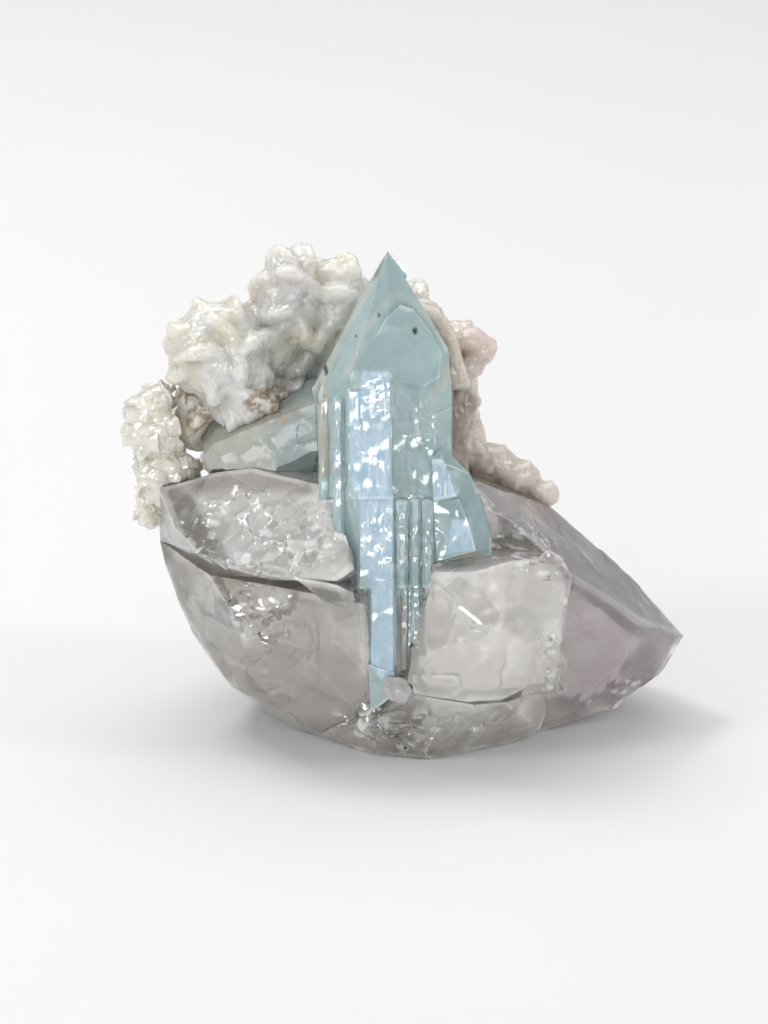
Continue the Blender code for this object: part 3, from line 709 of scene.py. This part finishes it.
def quartz_finish():
    paint = Recipe("lilac-grey quartz")
    plates = paint.ramp(paint.cells(6.5, output="Color", bend=2.5), 0.0, 1.0, 0.84, 1.14)
    seams = paint.ramp(paint.cells(6.5, "DISTANCE_TO_EDGE", bend=2.5), 0.0, 0.02, 0.3, 0.0)
    colour = paint.add("ShaderNodeVectorMath", operation="SCALE")
    paint.feed(colour.inputs[0], painted(paint, 0.03))
    paint.feed(colour.inputs["Scale"], plates)
    colour = paint.mix(seams, colour.outputs[0], (0.86, 0.85, 0.83))
    paint.set(Base_Color=colour, Transmission_Weight=clearness(paint), IOR=1.54)
    paint.set(Roughness=paint.ramp(paint.cloud(6.0, detail=1.0), 0.35, 0.7, 0.10, 0.25))
    paint.set(Coat_Weight=1.0, Coat_Roughness=0.04)
    paint.absorb((0.80, 0.76, 0.77), 8.0)
    paint.bump(paint.cloud(5.0, detail=0.0), 0.10, 0.5)
    return paint.material


def beryl_finish():
    paint = Recipe("pale blue beryl")
    broken = paint.add("ShaderNodeAttribute", attribute_name="broken").outputs["Fac"]
    colour = streaked(paint, painted(paint, 0.05), broken, 0.6, 9.0)
    paint.set(Base_Color=colour, Transmission_Weight=clearness(paint), IOR=1.57)
    paint.set(Roughness=paint.ramp(paint.cloud(2.0), 0.35, 0.7, 0.12, 0.25))
    paint.set(Coat_Weight=1.0, Coat_Roughness=0.03)
    paint.absorb((0.60, 0.80, 0.82), 8.0)
    return paint.material


def side_beryl_finish():
    paint = Recipe("grey-blue beryl")
    paint.set(Base_Color=painted(paint, 0.08), Transmission_Weight=clearness(paint), IOR=1.57)
    paint.set(Roughness=paint.ramp(paint.cloud(1.5), 0.35, 0.7, 0.3, 0.45))
    paint.set(Coat_Weight=0.25, Coat_Roughness=0.06)
    paint.absorb((0.60, 0.72, 0.74), 10.0)
    return paint.material


def albite_finish():
    paint = Recipe("white bladed feldspar")
    blades = paint.cells(1.7, "DISTANCE_TO_EDGE", bend=1.0)
    crevice = paint.ramp(blades, 0.0, 0.06, 0.5, 0.0)
    here = paint.ramp(paint.cloud(2.2, detail=1.0), 0.52, 0.66)
    colour = paint.mix(paint.maths("MULTIPLY", crevice, here), painted(paint, 0.04), (0.38, 0.34, 0.27))
    paint.set(Base_Color=colour, Subsurface_Weight=1.0, IOR=1.53)
    paint.bump(paint.ramp(blades, 0.0, 0.25), 0.12, 0.6)
    paint.set(Roughness=paint.ramp(paint.cloud(1.5), 0.35, 0.7, 0.22, 0.45))
    paint.set(Coat_Weight=0.6, Coat_Roughness=0.12)
    paint.shader.inputs["Subsurface Radius"].default_value = (1.0, 0.92, 0.8)
    paint.shader.inputs["Subsurface Scale"].default_value = 4.5 * MM
    return paint.material


def cluster_finish():
    paint = Recipe("glassy feldspar tablets")
    paint.set(Base_Color=painted(paint, 0.06), Transmission_Weight=0.3, IOR=1.53)
    paint.set(Roughness=paint.ramp(paint.cloud(1.0), 0.35, 0.7, 0.10, 0.3))
    paint.set(Coat_Weight=1.0, Coat_Roughness=0.05)
    return paint.material


# Studio


def add_lamp(name, place, aim, size, power, shade=(1.0, 1.0, 1.0)):
    lamp = bpy.data.objects.new(name, bpy.data.lights.new(name, "AREA"))
    lamp.data.shape = "RECTANGLE"
    lamp.data.size, lamp.data.size_y = (side * MM for side in size)
    lamp.data.energy = power
    lamp.data.color = shade
    lamp.location = Vector(place) * MM
    lamp.rotation_euler = (Vector(place) - Vector(aim)).to_track_quat("Z", "Y").to_euler()
    bpy.context.scene.collection.objects.link(lamp)


def add_studio():
    bm = bmesh.new()
    bmesh.ops.create_grid(bm, x_segments=1, y_segments=1, size=3.0)
    mesh = bpy.data.meshes.new("pale table")
    bm.to_mesh(mesh)
    bm.free()
    table = bpy.data.objects.new("pale_table", mesh)
    bpy.context.scene.collection.objects.link(table)
    paint = Recipe("pale table")
    paint.set(Base_Color=paint.mix(paint.cloud(60.0), (0.70, 0.70, 0.70), (0.72, 0.72, 0.72)))
    paint.set(Roughness=0.6)
    paint.shader.inputs["Specular IOR Level"].default_value = 0.2
    mesh.materials.append(paint.material)

    add_lamp("overhead", (0, 380, 900), (0, 100, 20), (800, 700), 3.8)
    add_lamp("key", (-280, 200, 520), (0, 0, 20), (150, 150), 1.2)
    add_lamp("left strip", (-420, -160, 300), (0, 0, 25), (110, 300), 0.65)
    add_lamp("right strip", (430, -60, 260), (0, 0, 25), (70, 300), 0.5)
    add_lamp("low front card", (-60, -650, 120), (0, 0, 25), (320, 120), 1.15)

    world = bpy.data.worlds.new("studio")
    bpy.context.scene.world = world
    world.use_nodes = True
    sky = world.node_tree.nodes["Background"]
    sky.inputs[0].default_value = (0.99, 0.99, 1.0, 1.0)
    sky.inputs[1].default_value = 0.52
    bpy.context.scene.view_settings.view_transform = "Standard"


def add_camera():
    angle = math.radians(CAMERA_HEIGHT_ANGLE)
    back = Vector((0.0, -math.cos(angle), math.sin(angle)))
    camera = bpy.data.objects.new("camera", bpy.data.cameras.new("camera"))
    camera.data.lens = CAMERA_LENS
    camera.data.sensor_width = 36.0
    camera.data.clip_start = 0.02
    camera.location = (Vector(CAMERA_AIM) + back * CAMERA_DISTANCE) * MM
    camera.rotation_euler = back.to_track_quat("Z", "Y").to_euler()
    bpy.context.scene.collection.objects.link(camera)
    bpy.context.scene.camera = camera


# Assembly


def hand_over(piece, node, material):
    piece.data.materials.clear()
    piece.data.materials.append(material)
    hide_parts(node)
    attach(piece, "root")


def build():
    add_camera()
    add_studio()
    beryl = make_beryl()
    side = make_side_beryl()
    quartz = make_quartz()
    rosettes = make_albite()
    cluster = make_cluster()
    close_gap(quartz, [beryl])
    close_gap(side, [beryl, quartz])
    close_gap(rosettes, [beryl, quartz, side])
    close_gap(cluster, [quartz, rosettes])
    hand_over(beryl, "aquamarine_crystal", beryl_finish())
    hand_over(side, "aquamarine_side_crystal", side_beryl_finish())
    hand_over(quartz, "quartz_matrix", quartz_finish())
    hand_over(rosettes, "albite_rosettes", albite_finish())
    hand_over(cluster, "albite_cluster", cluster_finish())


build()
